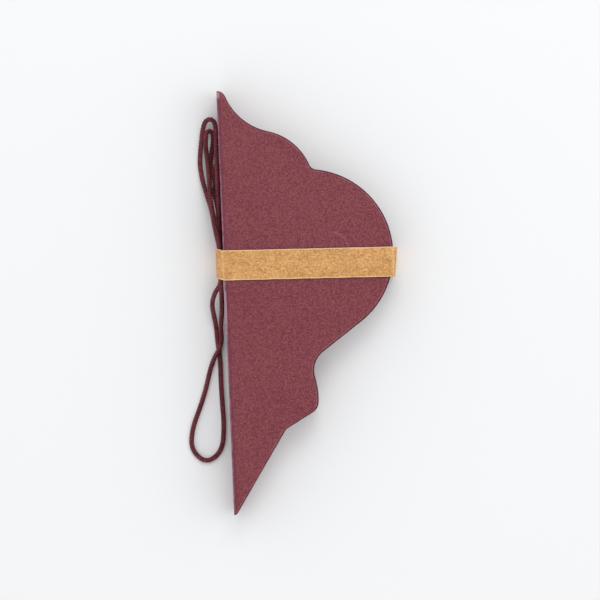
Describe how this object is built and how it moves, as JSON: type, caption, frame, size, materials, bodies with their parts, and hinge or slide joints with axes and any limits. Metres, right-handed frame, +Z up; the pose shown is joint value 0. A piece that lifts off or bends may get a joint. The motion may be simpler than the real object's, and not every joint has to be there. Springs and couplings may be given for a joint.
{
  "type": "folding paper drop ornament",
  "caption": "Flat folded paper ornament of stacked half drop leaves between two magnetic covers, held shut by a paper band, with a hanging cord loop.",
  "frame": {"origin": "centre of the bounding box, without the cord, on the surface that the folded ornament lies on", "axes": "+X from the glued spine to the belly, +Y along the spine to the hanging tip, +Z up through the stack and out of the front cover"},
  "size_m": [0.0513, 0.1, 0.01],
  "materials": {
    "leaf_paper": "matt coloured paper, burgundy",
    "cover_paper": "matt coloured paper with a fine grain, burgundy",
    "cover_board": "warm grey board, cut edge",
    "magnet": "nickel plated",
    "kraft_paper": "uncoated kraft paper with fine specks",
    "cord": "twisted cotton cord"
  },
  "bodies": {
    "root": {"back_facing": "cover_paper", "back_board": "cover_board", "back_magnet": "magnet", "leaf_01": "leaf_paper", "leaf_02": "leaf_paper", "leaf_03": "leaf_paper", "leaf_04": "leaf_paper", "leaf_05": "leaf_paper", "leaf_06": "leaf_paper", "leaf_07": "leaf_paper", "leaf_08": "leaf_paper", "leaf_09": "leaf_paper", "leaf_10": "leaf_paper", "leaf_11": "leaf_paper", "leaf_12": "leaf_paper", "leaf_13": "leaf_paper", "leaf_14": "leaf_paper", "leaf_15": "leaf_paper", "leaf_16": "leaf_paper", "leaf_17": "leaf_paper", "leaf_18": "leaf_paper", "leaf_19": "leaf_paper", "leaf_20": "leaf_paper", "leaf_21": "leaf_paper", "leaf_22": "leaf_paper", "leaf_23": "leaf_paper", "leaf_24": "leaf_paper", "leaf_25": "leaf_paper", "leaf_26": "leaf_paper", "leaf_27": "leaf_paper", "leaf_28": "leaf_paper", "leaf_29": "leaf_paper", "leaf_30": "leaf_paper", "leaf_31": "leaf_paper", "leaf_32": "leaf_paper", "leaf_33": "leaf_paper", "leaf_34": "leaf_paper", "leaf_35": "leaf_paper", "leaf_36": "leaf_paper", "leaf_37": "leaf_paper", "leaf_38": "leaf_paper", "leaf_39": "leaf_paper", "leaf_40": "leaf_paper", "leaf_41": "leaf_paper", "leaf_42": "leaf_paper", "leaf_43": "leaf_paper", "leaf_44": "leaf_paper", "front_board": "cover_board", "front_magnet": "magnet", "front_facing": "cover_paper", "paper_band": "kraft_paper", "hanging_cord": "cord"}
  },
  "joints": []
}
